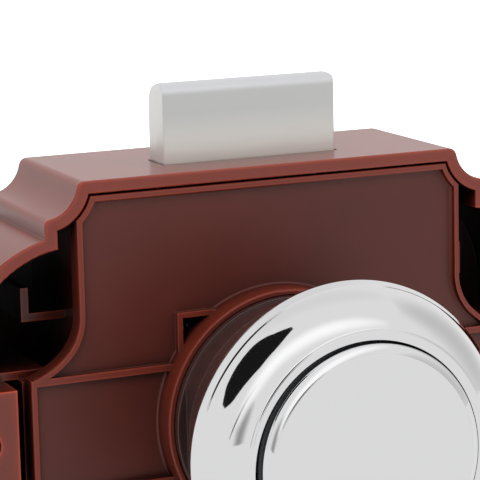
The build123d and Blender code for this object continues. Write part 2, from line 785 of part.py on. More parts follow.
# Tappet: square push rod with two cam ribs at 45 degrees and the heart track
half_rod = tappet_width / 2
with BuildPart() as tappet:
    with BuildSketch(at_depth(-tappet_front_reach)):
        Rectangle(tappet_width, tappet_width)
    extrude(amount=-(tappet_front_reach + cam_back_depth))
    fillet(tappet.edges().filter_by(Axis.Y), radius=tappet_edge_round)
    with BuildSketch(Plane.YZ):
        with BuildLine():
            Polyline(
                (cam_front_depth, cam_plane - cam_front_depth),
                (cam_back_depth, cam_plane - cam_back_depth),
                (cam_back_depth, half_rod - tappet_edge_round),
                (cam_front_depth, half_rod - tappet_edge_round),
                close=True,
            )
        make_face()
    extrude(amount=cam_half_width, both=True)
    with BuildSketch(Plane.YZ):
        with Locations((-knob_pin_reach, 0)):
            Circle(knob_pin_radius + thread_gap)
    extrude(amount=half_rod + overrun, both=True, mode=Mode.SUBTRACT)
    # Wide recess that the follower wire swings in, open at the back
    box_between(
        (-track_recess_half_width, track_recess_front_depth, track_floor),
        (track_recess_half_width, cam_back_depth + overrun, half_rod + overrun),
        Mode.SUBTRACT,
    )
    # Heart track round its island, both in shares of the track's length and half width
    track_start = follower_tip_depth - follower_radius - 2 * knob_overtravel
    track_length = knob_travel + 2 * follower_radius + 3 * knob_overtravel
    track_half = track_recess_half_width - follower_radius
    track_shares = [
        (-0.42, 0), (0.42, 0), (0.9, 0.24), (0.9, 0.84), (0.78, 1), (0.12, 1), (-1, 0.62), (-1, 0.24),
    ]
    island_shares = [
        (-0.56, 0.3), (-0.38, 0.21), (-0.26, 0.27), (-0.15, 0.32), (0.04, 0.62), (-0.12, 0.68), (-0.44, 0.56),
    ]
    with BuildSketch(Plane.XY.offset(track_floor - track_depth)):
        with BuildLine():
            Polyline([(x * track_half, track_start + y * track_length) for x, y in track_shares], close=True)
        make_face()
        with BuildLine():
            Polyline([(x * track_half, track_start + y * track_length) for x, y in island_shares], close=True)
        make_face(mode=Mode.SUBTRACT)
    extrude(amount=track_depth + overrun, mode=Mode.SUBTRACT)
finish(tappet, "tappet")

# Follower wire: pivot leg up into the bracket, tip down into the heart track
with BuildPart() as follower_wire:
    with BuildLine() as follower_path:
        FilletPolyline(
            (0, follower_pivot_depth, follower_top_height),
            (0, follower_pivot_depth, follower_height),
            (0, follower_tip_depth, follower_height),
            (0, follower_tip_depth, follower_tip_height),
            radius=follower_bend_radius,
        )
    with BuildSketch(Plane.XY.offset(follower_top_height)):
        with Locations((0, follower_pivot_depth)):
            Circle(follower_radius)
    sweep(path=follower_path.wires()[0])
finish(follower_wire, "follower_wire")

# Bolt: rounded nose, slam side to the back, arms that rest on the springs
nose_depth = bolt_front_depth + bolt_nose_share * bolt_thickness
parting_depth = bolt_front_depth + bolt_draft_share * bolt_thickness
face_half_width = bolt_half_width - bolt_draft
front_shoulder = (bolt_front_depth, bolt_top_height - bolt_nose_front_drop)
back_shoulder = (bolt_back_depth, bolt_top_height - bolt_nose_back_drop)
nose = (nose_depth, bolt_top_height)
quarter_share = sqrt(0.5)
front_middle = (
    nose_depth - quarter_share * (nose_depth - bolt_front_depth),
    bolt_top_height - (1 - quarter_share) * bolt_nose_front_drop,
)
back_middle = (
    nose_depth + quarter_share * (bolt_back_depth - nose_depth),
    bolt_top_height - (1 - quarter_share) * bolt_nose_back_drop,
)
with BuildPart() as bolt:
    with BuildSketch(Plane.YZ):
        with BuildLine():
            Line((bolt_front_depth, arm_bottom_height), front_shoulder)
            ThreePointArc(front_shoulder, front_middle, nose)
            ThreePointArc(nose, back_middle, back_shoulder)
            Line(back_shoulder, (bolt_back_depth, arm_bottom_height))
            Line((bolt_back_depth, arm_bottom_height), (bolt_front_depth, arm_bottom_height))
        make_face()
    extrude(amount=bolt_half_width + overrun, both=True)
    # End faces with draft to both sides of a parting line, and round front edges
    with BuildSketch(Plane.XY.offset(arm_bottom_height)) as plan:
        with BuildLine():
            Polyline(
                (-face_half_width, bolt_front_depth),
                (face_half_width, bolt_front_depth),
                (bolt_half_width, parting_depth),
                (face_half_width, bolt_back_depth),
                (-face_half_width, bolt_back_depth),
                (-bolt_half_width, parting_depth),
                close=True,
            )
        make_face()
        fillet(plan.vertices().group_by(Axis.Y)[0], radius=bolt_edge_round)
    extrude(amount=bolt_top_height - arm_bottom_height, mode=Mode.INTERSECT)
    with BuildSketch(at_depth(bolt_front_depth)) as front:
        with Locations((0, (bolt_top_height + arm_bottom_height) / 2)):
            Rectangle(2 * bolt_half_width, bolt_top_height - arm_bottom_height)
        fillet(front.vertices().group_by(Axis.Y)[-1], radius=bolt_end_round)
    extrude(amount=-bolt_thickness, mode=Mode.INTERSECT)
    box_between(
        (-arm_half_width, bolt_front_depth, arm_bottom_height),
        (arm_half_width, bolt_back_depth, arm_top_height),
    )
    box_between(
        (-cam_gap, bolt_front_depth - overrun, arm_bottom_height - overrun),
        (cam_gap, bolt_back_depth + overrun, bolt_notch_height),
        Mode.SUBTRACT,
    )
    for side in (-1, 1):
        place = (side * spring_x, spring_depth)
        upright_rod(place, peg_radius, arm_bottom_height - peg_length, arm_bottom_height)
finish(bolt, "bolt")

# Bolt carriage: back wall, spring pockets, hooks over the bolt's arms and the two cam ribs
with BuildPart() as bolt_carriage:
    box_between(
        (-carriage_half_width, carriage_back_inner, carriage_bottom_height),
        (carriage_half_width, carriage_back_depth, carriage_top_height),
    )
    box_between(
        (-carriage_window_half_width, carriage_back_inner - overrun, carriage_bottom_height - overrun),
        (carriage_window_half_width, carriage_back_depth + overrun, carriage_window_height),
        Mode.SUBTRACT,
    )
    both_sides_box(
        side_inner_x, carriage_half_width,
        (keeper_back_depth, carriage_back_depth), (carriage_bottom_height, carriage_top_height),
    )
    both_sides_box(
        carriage_inner_wall_x, pocket_inner_x,
        (keeper_back_depth, carriage_back_depth), (carriage_bottom_height, carriage_inner_wall_height),
    )
    both_sides_box(
        carriage_window_half_width, carriage_half_width,
        (keeper_back_depth, carriage_back_depth), (carriage_bottom_height, carriage_floor_height),
    )
    both_sides_box(
        carriage_half_width - carriage_hook_reach, carriage_half_width,
        (keeper_back_depth, carriage_back_depth), (hook_bottom_height, carriage_top_height),
    )
    # Cam ribs and the bar that joins them under the tappet
    for side in (-1, 1):
        inner = min(side * cam_rib_inner_x, side * (carriage_window_half_width + fit_gap))
        outer = max(side * cam_rib_inner_x, side * (carriage_window_half_width + fit_gap))
        with BuildSketch(Plane.YZ.offset(inner)):
            with BuildLine():
                Polyline(
                    (cam_rib_front_depth, carriage_cam_plane - cam_rib_front_depth),
                    (cam_rib_back_depth, carriage_cam_plane - cam_rib_back_depth),
                    (cam_rib_back_depth, cam_rib_bottom_height),
                    (cam_rib_front_depth, cam_rib_bottom_height),
                    close=True,
                )
            make_face()
        extrude(amount=outer - inner)
    box_between(
        (-cam_rib_inner_x - fit_gap, cam_rib_front_depth, cam_rib_bottom_height),
        (cam_rib_inner_x + fit_gap, cam_rib_back_depth, bar_top_height),
    )
    # Spring pegs below and in the pockets, and the holes of the keeper screws
    for side in (-1, 1):
        upright_rod((side * spring_x, spring_depth), peg_radius,
                    carriage_bottom_height - peg_length, carriage_bottom_height)
        upright_rod((side * spring_x, spring_depth), peg_radius,
                    carriage_floor_height, carriage_floor_height + peg_length)
        rod((side * spring_x, keeper_screw_height), keeper_screw_radius + thread_gap,
            keeper_back_depth - overrun, keeper_back_depth + keeper_screw_length, Mode.SUBTRACT)
finish(bolt_carriage, "bolt_carriage")

# Keeper plate in front of the carriage, open in the middle for the tappet
with BuildPart() as keeper_plate:
    with BuildSketch(at_depth(carriage_front_depth)):
        with BuildLine():
            Polyline(
                (keeper_window_half_width, carriage_bottom_height),
                (carriage_half_width, carriage_bottom_height),
                (carriage_half_width, carriage_top_height),
                (carriage_inner_wall_x, carriage_top_height),
                (carriage_inner_wall_x, keeper_bridge_height),
                (0, keeper_bridge_height),
                (0, carriage_window_height),
                (keeper_window_half_width, carriage_window_height),
                close=True,
            )
        make_face()
        mirror(about=Plane.YZ)
        with Locations((spring_x, keeper_screw_height), (-spring_x, keeper_screw_height)):
            Circle(keeper_screw_radius + screw_hole_gap, mode=Mode.SUBTRACT)
    extrude(amount=-(keeper_thickness - seat_gap / 2))
    for side in (-1, 1):
        rod((side * spring_x, keeper_screw_height), keeper_screw_head_radius + head_gap,
            carriage_front_depth - overrun, carriage_front_depth + keeper_screw_head_height, Mode.SUBTRACT)
finish(keeper_plate, "keeper_plate")


def screw_group(places, radius, head_radius, head_height, length, head_face, way):
    # Pan-head screws along Y: the head face is at head_face and the shank runs the way given
    with BuildPart() as group:
        for place in places:
            head_end = head_face + way * head_height
            rod(place, head_radius, min(head_face, head_end), max(head_face, head_end))
            shank_end = head_end + way * length
            rod(place, radius, min(head_end, shank_end), max(head_end, shank_end))
            slot_end = head_face + way * head_height * cross_depth_share
            low = min(head_face - way * overrun, slot_end)
            high = max(head_face - way * overrun, slot_end)
            long = head_radius * (1 - cross_slot_share)
            short = head_radius * cross_slot_share / 2
            for half_x, half_z in ((long, short), (short, long)):
                box_between(
                    (place[0] - half_x, low, place[1] - half_z),
                    (place[0] + half_x, high, place[1] + half_z),
                    Mode.SUBTRACT,
                )
    return group


plate_screws = screw_group(
    screw_places, plate_screw_radius, plate_screw_head_radius, plate_screw_head_height,
    plate_screw_length, shell_depth, -1,
)
finish(plate_screws, "plate_screws")

keeper_screws = screw_group(
    [(-spring_x, keeper_screw_height), (spring_x, keeper_screw_height)],
    keeper_screw_radius, keeper_screw_head_radius, keeper_screw_head_height,
    keeper_screw_length, carriage_front_depth, 1,
)
finish(keeper_screws, "keeper_screws")

# Springs
wire_room = spring_wire_radius + spring_seat_gap
bolt_spring_bottom = carriage_floor_height + wire_room
bolt_spring_length = arm_bottom_height - wire_room - bolt_spring_bottom
carriage_spring_bottom = housing_floor + wire_room
carriage_spring_length = carriage_bottom_height - wire_room - carriage_spring_bottom
for side, side_name in ((-1, "left"), (1, "right")):
    for name, bottom, length, turns in (
        ("bolt_spring_", bolt_spring_bottom, bolt_spring_length, bolt_spring_turns),
        ("carriage_spring_", carriage_spring_bottom, carriage_spring_length, carriage_spring_turns),
    ):
        place = Location((side * spring_x, spring_depth, bottom))
        with BuildPart() as small_spring:
            add(spring(place, spring_radius, spring_wire_radius, length, turns))
        finish(small_spring, name + side_name)

knob_wire_room = knob_spring_wire_radius + spring_seat_gap
knob_spring_start = -sleeve_floor_reach - knob_wire_room
knob_spring_length = knob_core_back_reach - knob_wire_room + knob_spring_start
with BuildPart() as knob_spring:
    place = Location((0, knob_spring_start, 0), (90, 0, 0))
    add(spring(place, knob_spring_radius, knob_spring_wire_radius, knob_spring_length, knob_spring_turns))
finish(knob_spring, "knob_spring")
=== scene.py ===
import math
import bpy
import numpy as np
from mathutils import Matrix, Vector


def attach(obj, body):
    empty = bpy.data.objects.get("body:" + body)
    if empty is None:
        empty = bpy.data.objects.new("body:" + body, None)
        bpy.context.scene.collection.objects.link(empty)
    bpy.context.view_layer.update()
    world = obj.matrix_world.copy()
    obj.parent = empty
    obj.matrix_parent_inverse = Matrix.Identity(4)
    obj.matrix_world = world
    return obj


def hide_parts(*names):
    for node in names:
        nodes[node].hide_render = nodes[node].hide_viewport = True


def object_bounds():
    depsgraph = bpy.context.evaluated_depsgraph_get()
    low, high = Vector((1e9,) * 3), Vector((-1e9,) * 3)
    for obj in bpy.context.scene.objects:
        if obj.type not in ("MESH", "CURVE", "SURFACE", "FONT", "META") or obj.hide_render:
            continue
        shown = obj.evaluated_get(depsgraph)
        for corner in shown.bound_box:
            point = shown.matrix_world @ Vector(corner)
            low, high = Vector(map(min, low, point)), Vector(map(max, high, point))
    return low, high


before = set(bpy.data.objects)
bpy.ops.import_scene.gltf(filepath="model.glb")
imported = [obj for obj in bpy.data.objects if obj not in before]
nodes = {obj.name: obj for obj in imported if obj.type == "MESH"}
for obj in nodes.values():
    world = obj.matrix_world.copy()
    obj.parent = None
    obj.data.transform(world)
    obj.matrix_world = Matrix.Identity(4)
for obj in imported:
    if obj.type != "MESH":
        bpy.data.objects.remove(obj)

cadBox = [list(corner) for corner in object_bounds()]
mm = 0.001
print("stage: frame loaded,", len(nodes), "nodes")

# Camera of the photograph, worked out from its circles and edges; lengths in mm, clip in metres
cameraSizes = {
    "place": (-108.815, -245.265, 70.729),
    "look": (0.384871, 0.904385, -0.184288),
    "rollDegrees": -1.383,
    "lens": 176.24,
    "sensor": 36.0,
    "clip": (0.01, 10),
}


def makeCamera(sizes):
    # Side and up stand square to the look, then both turn about it by the roll
    look = Vector(sizes["look"]).normalized()
    side = look.cross(Vector((0, 0, 1))).normalized()
    up = side.cross(look)
    roll = math.radians(sizes["rollDegrees"])
    rolledSide = side * math.cos(roll) + up * math.sin(roll)
    rolledUp = up * math.cos(roll) - side * math.sin(roll)
    data = bpy.data.cameras.new("photoCamera")
    data.lens = sizes["lens"]
    data.sensor_width = sizes["sensor"]
    data.clip_start, data.clip_end = sizes["clip"]
    camera = bpy.data.objects.new("photoCamera", data)
    turn = Matrix((rolledSide, rolledUp, -look)).transposed()
    camera.matrix_world = Matrix.Translation(Vector(sizes["place"]) * mm) @ turn.to_4x4()
    bpy.context.scene.collection.objects.link(camera)
    bpy.context.scene.camera = camera


makeCamera(cameraSizes)
print("stage: camera made")


def linearColour(code):
    # sRGB hex to linear: each channel over 12.92 near black, else raised to 2.4
    channels = [int(code[i:i + 2], 16) / 255 for i in (1, 3, 5)]
    return [c / 12.92 if c <= 0.04045 else ((c + 0.055) / 1.055) ** 2.4 for c in channels] + [1.0]


def addNode(tree, kind, settings=None, values=None, links=None):
    # One node: its settings, the values of its sockets and what feeds them
    node = tree.nodes.new(kind)
    for key, value in (settings or {}).items():
        setattr(node, key, value)
    for key, value in (values or {}).items():
        node.inputs[key].default_value = value
    for key, source in (links or {}).items():
        tree.links.new(source, node.inputs[key])
    return node


def newMaterial(name, values):
    # Material with its shader's own values set, and the Object coordinates for its patterns
    material = bpy.data.materials.new(name)
    material.use_nodes = True
    shader = material.node_tree.nodes["Principled BSDF"]
    for key, value in values.items():
        shader.inputs[key].default_value = value
    place = addNode(material.node_tree, "ShaderNodeTexCoord").outputs["Object"]
    return material, material.node_tree, shader, place


colourMix = {"data_type": "RGBA"}  # sockets of such a mix: 0 is the share, 6 and 7 are the colours

# Moulded ABS, red-brown: the thick body looks dark; thin walls get a redder, more orange painted glow of
# light let through, edges a painted highlight, and hollows where little light comes in a nearly black painted
# shade; edges are softly rounded
absLook = {
    "field": "#4c1d16", "deep": "#411811", "cloud": 9,
    "thinGlow": "#83301c", "thinReach": 1.3, "thinRange": (1.0, 0.3), "glow": 0.36,
    "edge": "#ac4024", "edgeReach": 0.35, "edgeRange": (0.9, 0.5), "edgeHighlight": 0.2,
    "hollow": "#0c0302", "hollowReach": 16, "hollowRange": (0.15, 0.75),
    "ior": 1.53, "roughness": 0.42, "shine": 0.3, "edgeRound": 0.14,
    "grain": 0.35, "grainStrength": 0.05, "grainHeight": 0.02, "samples": 8,
}


def mouldedAbs(name, look):
    # Body colour clouds between two tones; the thin colour, a painted glow, comes in where the inside is
    # narrow, the edge colour, a painted highlight, within a shorter reach, and the painted hollow shade where
    # the surroundings close in
    material, tree, shader, place = newMaterial(name, {
        "IOR": look["ior"], "Roughness": look["roughness"], "Specular IOR Level": look["shine"]})
    inside = {"samples": look["samples"], "inside": True, "only_local": True}
    cloud = addNode(tree, "ShaderNodeTexNoise", {}, {"Scale": 1 / (look["cloud"] * mm), "Detail": 2},
                    {"Vector": place})
    body = addNode(tree, "ShaderNodeMix", colourMix, {
        6: linearColour(look["field"]), 7: linearColour(look["deep"])}, {0: cloud.outputs["Fac"]})
    # Painted glow: the thin colour stands in for light let through narrow walls
    wall = addNode(tree, "ShaderNodeAmbientOcclusion", inside, {"Distance": look["thinReach"] * mm})
    share = addNode(tree, "ShaderNodeMapRange", {}, {
        "From Min": look["thinRange"][0], "From Max": look["thinRange"][1], "To Max": look["glow"]},
        {0: wall.outputs["AO"]})
    glowed = addNode(tree, "ShaderNodeMix", colourMix, {7: linearColour(look["thinGlow"])},
                   {0: share.outputs[0], 6: body.outputs[2]})
    # Painted highlight: the edge colour brightens the base colour along edges
    corner = addNode(tree, "ShaderNodeAmbientOcclusion", inside, {"Distance": look["edgeReach"] * mm})
    highlightShare = addNode(tree, "ShaderNodeMapRange", {}, {
        "From Min": look["edgeRange"][0], "From Max": look["edgeRange"][1], "To Max": look["edgeHighlight"]},
        {0: corner.outputs["AO"]})
    highlighted = addNode(tree, "ShaderNodeMix", colourMix, {7: linearColour(look["edge"])},
                    {0: highlightShare.outputs[0], 6: glowed.outputs[2]})
    # Painted shade: the base colour darkens towards the hollow colour where the surroundings close in and
    # little light reaches
    hollow = addNode(tree, "ShaderNodeAmbientOcclusion", {"samples": look["samples"]},
                     {"Distance": look["hollowReach"] * mm})
    shadeShare = addNode(tree, "ShaderNodeMapRange", {}, {
        "From Min": look["hollowRange"][0], "From Max": look["hollowRange"][1]}, {0: hollow.outputs["AO"]})
    seen = addNode(tree, "ShaderNodeMix", colourMix, {6: linearColour(look["hollow"])},
                   {0: shadeShare.outputs[0], 7: highlighted.outputs[2]})
    tree.links.new(seen.outputs[2], shader.inputs["Base Color"])
    rounded = addNode(tree, "ShaderNodeBevel", {"samples": look["samples"]},
                      {"Radius": look["edgeRound"] * mm})
    grain = addNode(tree, "ShaderNodeTexNoise", {}, {"Scale": 1 / (look["grain"] * mm), "Detail": 3},
                    {"Vector": place})
    bump = addNode(tree, "ShaderNodeBump", {}, {
        "Strength": look["grainStrength"], "Distance": look["grainHeight"] * mm},
        {"Height": grain.outputs["Fac"], "Normal": rounded.outputs["Normal"]})
    tree.links.new(bump.outputs["Normal"], shader.inputs["Normal"])
    return material


# Acetal and filled nylon, moulded, and the knob skirt's black painted shade: matt, slightly mottled; the
# mottle is in mm
nylonLook = {"ior": 1.5, "mottle": 3}


def mouldedNylon(name, colour, dark, roughness):
    material, tree, shader, place = newMaterial(name, {"IOR": nylonLook["ior"], "Roughness": roughness})
    cloud = addNode(tree, "ShaderNodeTexNoise", {}, {"Scale": 1 / (nylonLook["mottle"] * mm), "Detail": 3},
                    {"Vector": place})
    body = addNode(tree, "ShaderNodeMix", colourMix, {6: linearColour(colour), 7: linearColour(dark)},
                   {0: cloud.outputs["Fac"]})
    tree.links.new(body.outputs[2], shader.inputs["Base Color"])
    return material


# Chrome plate over ABS: mirror bright with the faintest waviness of the moulding below; waves in mm
chromeLook = {"colour": "#d9d9da", "roughness": 0.05, "wave": 6, "waveStrength": 0.04, "waveHeight": 0.05}


def chromePlate(name, look):
    material, tree, shader, place = newMaterial(name, {
        "Metallic": 1, "Roughness": look["roughness"], "Base Color": linearColour(look["colour"])})
    wave = addNode(tree, "ShaderNodeTexNoise", {}, {"Scale": 1 / (look["wave"] * mm), "Detail": 1},
                   {"Vector": place})
    bump = addNode(tree, "ShaderNodeBump", {}, {
        "Strength": look["waveStrength"], "Distance": look["waveHeight"] * mm},
        {"Height": wave.outputs["Fac"]})
    tree.links.new(bump.outputs["Normal"], shader.inputs["Normal"])
    return material


# Zinc die casting with satin nickel: soft grey, painted warmer and lighter towards the housing as a painted
# reflection of it, with fine lines along the bolt, a painted highlight on the nose, and end faces painted a
# little brighter as painted light where they look sideways
boltLook = {
    "high": "#b6b7b6", "low": "#d9d4cd", "end": "#d6d5d2", "nose": "#c3c3c6", "rise": (28.5, 35),
    "noseRise": (37.35, 37.75), "sideLightRange": (0.6, 0.95), "rough": (0.28, 0.4), "metal": 0.8,
    "line": 2, "lineStretch": (0.6, 12, 12), "lineStrength": 0.04, "lineHeight": 0.02,
    "edgeRound": 0.15, "edgeSamples": 6,
}


def satinNickel(name, look):
    # The colour goes from low, a painted warm reflection, to high between two heights, to the nose colour, a
    # painted highlight, above them, and to the end colour, painted light, where the face looks sideways
    material, tree, shader, place = newMaterial(name, {"Metallic": look["metal"]})
    stretch = addNode(tree, "ShaderNodeMapping", {}, {"Scale": look["lineStretch"]}, {"Vector": place})
    line = addNode(tree, "ShaderNodeTexNoise", {}, {"Scale": 1 / (look["line"] * mm), "Detail": 4},
                   {"Vector": stretch.outputs["Vector"]})
    rough = addNode(tree, "ShaderNodeMapRange", {}, {"To Min": look["rough"][0], "To Max": look["rough"][1]},
                    {0: line.outputs["Fac"]})
    tree.links.new(rough.outputs[0], shader.inputs["Roughness"])
    height = addNode(tree, "ShaderNodeSeparateXYZ", {}, {}, {0: place})
    rise = addNode(tree, "ShaderNodeMapRange", {}, {
        "From Min": look["rise"][0] * mm, "From Max": look["rise"][1] * mm}, {0: height.outputs["Z"]})
    # Painted highlight: above the nose heights the colour turns to the nose colour
    top = addNode(tree, "ShaderNodeMapRange", {}, {
        "From Min": look["noseRise"][0] * mm, "From Max": look["noseRise"][1] * mm}, {0: height.outputs["Z"]})
    # Painted reflection: below the rise heights the colour turns to the warmer, lighter low colour, the
    # housing reflected
    reflectionMix = addNode(tree, "ShaderNodeMix", colourMix, {
        6: linearColour(look["low"]), 7: linearColour(look["high"])}, {0: rise.outputs[0]})
    body = addNode(tree, "ShaderNodeMix", colourMix, {7: linearColour(look["nose"])},
                   {0: top.outputs[0], 6: reflectionMix.outputs[2]})
    # Painted light: faces that look sideways take the brighter end colour
    normal = addNode(tree, "ShaderNodeTexCoord").outputs["Normal"]
    facing = addNode(tree, "ShaderNodeSeparateXYZ", {}, {}, {0: normal})
    turn = addNode(tree, "ShaderNodeMath", {"operation": "ABSOLUTE"}, {}, {0: facing.outputs["X"]})
    side = addNode(tree, "ShaderNodeMapRange", {}, {
        "From Min": look["sideLightRange"][0], "From Max": look["sideLightRange"][1]}, {0: turn.outputs[0]})
    seen = addNode(tree, "ShaderNodeMix", colourMix, {7: linearColour(look["end"])},
                   {0: side.outputs[0], 6: body.outputs[2]})
    tree.links.new(seen.outputs[2], shader.inputs["Base Color"])
    rounded = addNode(tree, "ShaderNodeBevel", {"samples": look["edgeSamples"]},
                      {"Radius": look["edgeRound"] * mm})
    bump = addNode(tree, "ShaderNodeBump", {}, {
        "Strength": look["lineStrength"], "Distance": look["lineHeight"] * mm},
        {"Height": line.outputs["Fac"], "Normal": rounded.outputs["Normal"]})
    tree.links.new(bump.outputs["Normal"], shader.inputs["Normal"])
    return material


# Drawn spring wire, zinc plated screws and stamped steel: grey metal, streaked in roughness; streaks in mm
steelLook = {"streak": 0.8, "spread": 0.12}


def drawnSteel(name, colour, roughness):
    material, tree, shader, place = newMaterial(name, {"Metallic": 1, "Base Color": linearColour(colour)})
    spot = addNode(tree, "ShaderNodeTexNoise", {}, {"Scale": 1 / (steelLook["streak"] * mm), "Detail": 3},
                   {"Vector": place})
    rough = addNode(tree, "ShaderNodeMapRange", {}, {
        "To Min": roughness, "To Max": roughness + steelLook["spread"]}, {0: spot.outputs["Fac"]})
    tree.links.new(rough.outputs[0], shader.inputs["Roughness"])
    return material


# The housing takes a lighter, glossier copy of the plate's ABS; barrel and rosette body are coloured a darker
# brown
# Painted light: the housing's lighter colour stands in for light on its top and sides, and its stronger edge
# colour is a painted highlight
litHousingAbs = mouldedAbs("litHousingMouldedAbs", {
    **absLook, "field": "#62251a", "deep": "#562016", "roughness": 0.27, "shine": 0.37, "glow": 0.38,
    "edgeHighlight": 0.8})
plateAbs = mouldedAbs("plateMouldedAbs", absLook)
# Painted highlight: the barrel's pale edge colour marks light along its shoulder edge
sleeveAbs = mouldedAbs("sleeveMouldedAbs", {
    **absLook, "field": "#362422", "deep": "#2f1f1d", "thinGlow": "#3a2522", "hollow": "#1c0f0e",
    "edge": "#8d766e", "edgeRound": 0.16, "roughness": 0.24, "shine": 0.45})
innerNylon = mouldedNylon("innerMouldedAcetal", "#cfccc2", "#bdbab0", 0.45)
coreNylon = mouldedNylon("coreMouldedNylon", "#2a2a2b", "#222223", 0.5)
# Painted shade: black for the knob's skirt, where the gap is dark
skirtShadeBlack = mouldedNylon("skirtPaintedShade", "#24262b", "#1d1f23", 0.4)
chrome = chromePlate("rosetteChromePlate", chromeLook)
satin = satinNickel("boltSatinNickel", boltLook)
springWire = drawnSteel("springDrawnSteel", "#b9bbbd", 0.22)
zincScrew = drawnSteel("screwZincPlate", "#c9cacb", 0.26)
clipSteel = drawnSteel("clipStampedSteel", "#cfd0d0", 0.2)

finishes = {
    "housing_shell": litHousingAbs, "base_plate": plateAbs, "barrel_sleeve": sleeveAbs,
    "retaining_clip": clipSteel, "plate_screws": zincScrew, "knob_spring": springWire,
    "carriage_spring_left": springWire, "carriage_spring_right": springWire,
    "rosette_cap": chrome, "rosette_core": sleeveAbs, "knob_cap": chrome, "knob_core": coreNylon,
    "knob_pin": clipSteel, "tappet": innerNylon, "bolt_carriage": innerNylon,
    "keeper_plate": innerNylon, "keeper_screws": zincScrew, "bolt_spring_left": springWire,
    "bolt_spring_right": springWire, "bolt": satin, "follower_wire": springWire,
}
for name, material in finishes.items():
    slots = nodes[name].data.materials
    slots.clear()
    slots.append(material)
print("stage: materials on", len(finishes), "nodes")


def turnedMesh(name, profile, steps, closed, shift=(0, 0)):
    # Surface of revolution about the barrel axis: x is radius times cosine, z is radius times sine and
    # y is the profile's own depth; an open profile starts and ends on the axis, in one point each; a
    # shift moves each ring of the profile sideways
    angle = np.linspace(0, 2 * np.pi, steps, endpoint=False)
    turning = profile if closed else profile[1:-1]
    count = len(turning)
    points = np.stack([
        np.outer(np.cos(angle), turning[:, 0]), np.tile(turning[:, 1], (steps, 1)),
        np.outer(np.sin(angle), turning[:, 0]),
    ], axis=2)
    points[:, :, ::2] += shift
    points = points.reshape(-1, 3)
    last = count if closed else count - 1
    ring, along = np.meshgrid(np.arange(steps), np.arange(last), indexing="ij")
    nextRing, nextAlong = (ring + 1) % steps, (along + 1) % count
    faces = np.stack([ring * count + along, ring * count + nextAlong,
                      nextRing * count + nextAlong, nextRing * count + along], axis=2).reshape(-1, 4).tolist()
    if not closed:
        points = np.vstack([points, [[0, profile[0, 1], 0], [0, profile[-1, 1], 0]]])
        spoke, nextSpoke = np.arange(steps) * count, (np.arange(steps) + 1) % steps * count
        first, end = np.full(steps, len(points) - 2), np.full(steps, len(points) - 1)
        faces += np.stack([first, spoke, nextSpoke], axis=1).tolist()
        faces += np.stack([end, nextSpoke + count - 1, spoke + count - 1], axis=1).tolist()
    mesh = bpy.data.meshes.new(name)
    mesh.from_pydata((points * mm).tolist(), [], faces)
    mesh.polygons.foreach_set("use_smooth", np.ones(len(mesh.polygons), dtype=bool))
    piece = bpy.data.objects.new(name, mesh)
    bpy.context.scene.collection.objects.link(piece)
    return piece


def bowed(start, end, rise, count):
    # Points along an arc from start to end, which stands out from the chord by the rise
    share = np.linspace(0, 1, count)[:, None]
    start, end = np.array(start), np.array(end)
    chord = end - start
    out = np.array([chord[1], -chord[0]]) / np.hypot(*chord)
    return start + chord * share + out * rise * 4 * share * (1 - share)


profileSizes = {"straight": 1e-6, "keepEvery": 10}


def evenProfile(runs, step, width, closed):
    # The runs are joined and laid out again in even steps; the mean over a short stretch, weighted by
    # a bell, rounds every corner, and straight stretches then keep only one point in a few
    corners = np.concatenate(runs)
    if closed:
        corners = np.vstack([corners, corners[:1]])
    length = np.concatenate([[0], np.cumsum(np.hypot(*np.diff(corners, axis=0).T))])
    spots = np.linspace(0, length[-1], int(length[-1] / step), endpoint=not closed)
    even = np.stack([np.interp(spots, length, corners[:, i]) for i in (0, 1)], axis=1)
    half = int(width / step / 2)
    bell = np.hanning(2 * half + 3)[1:-1]
    ways = {"mode": "wrap"} if closed else {"mode": "reflect", "reflect_type": "odd"}
    padded = np.pad(even, ((half, half), (0, 0)), **ways)
    smooth = np.stack([np.convolve(padded[:, i], bell / bell.sum(), "valid") for i in (0, 1)], axis=1)
    bend = np.zeros(len(smooth))
    bend[1:-1] = np.abs(np.diff(smooth, 2, axis=0)).sum(axis=1)
    keep = (bend > profileSizes["straight"]) | (np.arange(len(smooth)) % profileSizes["keepEvery"] == 0)
    keep[[0, -1]] = True
    return smooth[keep]


# Chromed rosette: a thin shell with a rolled rim, a crowned flank, a hollow crease and a raised lip
rosetteShape = {
    "radius": 18.9, "backReach": 18.5, "beadEnd": (18.87, 19.0), "beadStart": (18.47, 19.74),
    "grooveEnd": (18.42, 19.95), "flankEnd": (14.55, 24.1), "flankRise": 0.52, "creaseRise": 0.05,
    "lipOuter": (14.28, 24.42), "lipTop": (13.5, 24.65), "lipRise": 0.03, "boreRadius": 13.36,
    "boreDrop": 0.2, "stepReach": 23.3, "stepSlope": 0.06, "stepRadius": 13.12, "boreReach": 22.35,
    "wall": 0.9, "beadHeight": 0.1, "flankPoints": 60, "lipPoints": 12,
    "steps": 256, "step": 0.05, "softness": 0.16, "boreShift": (-0.33, -0.08), "shiftFrom": 14.25,
    "shiftTo": 13.6,
}


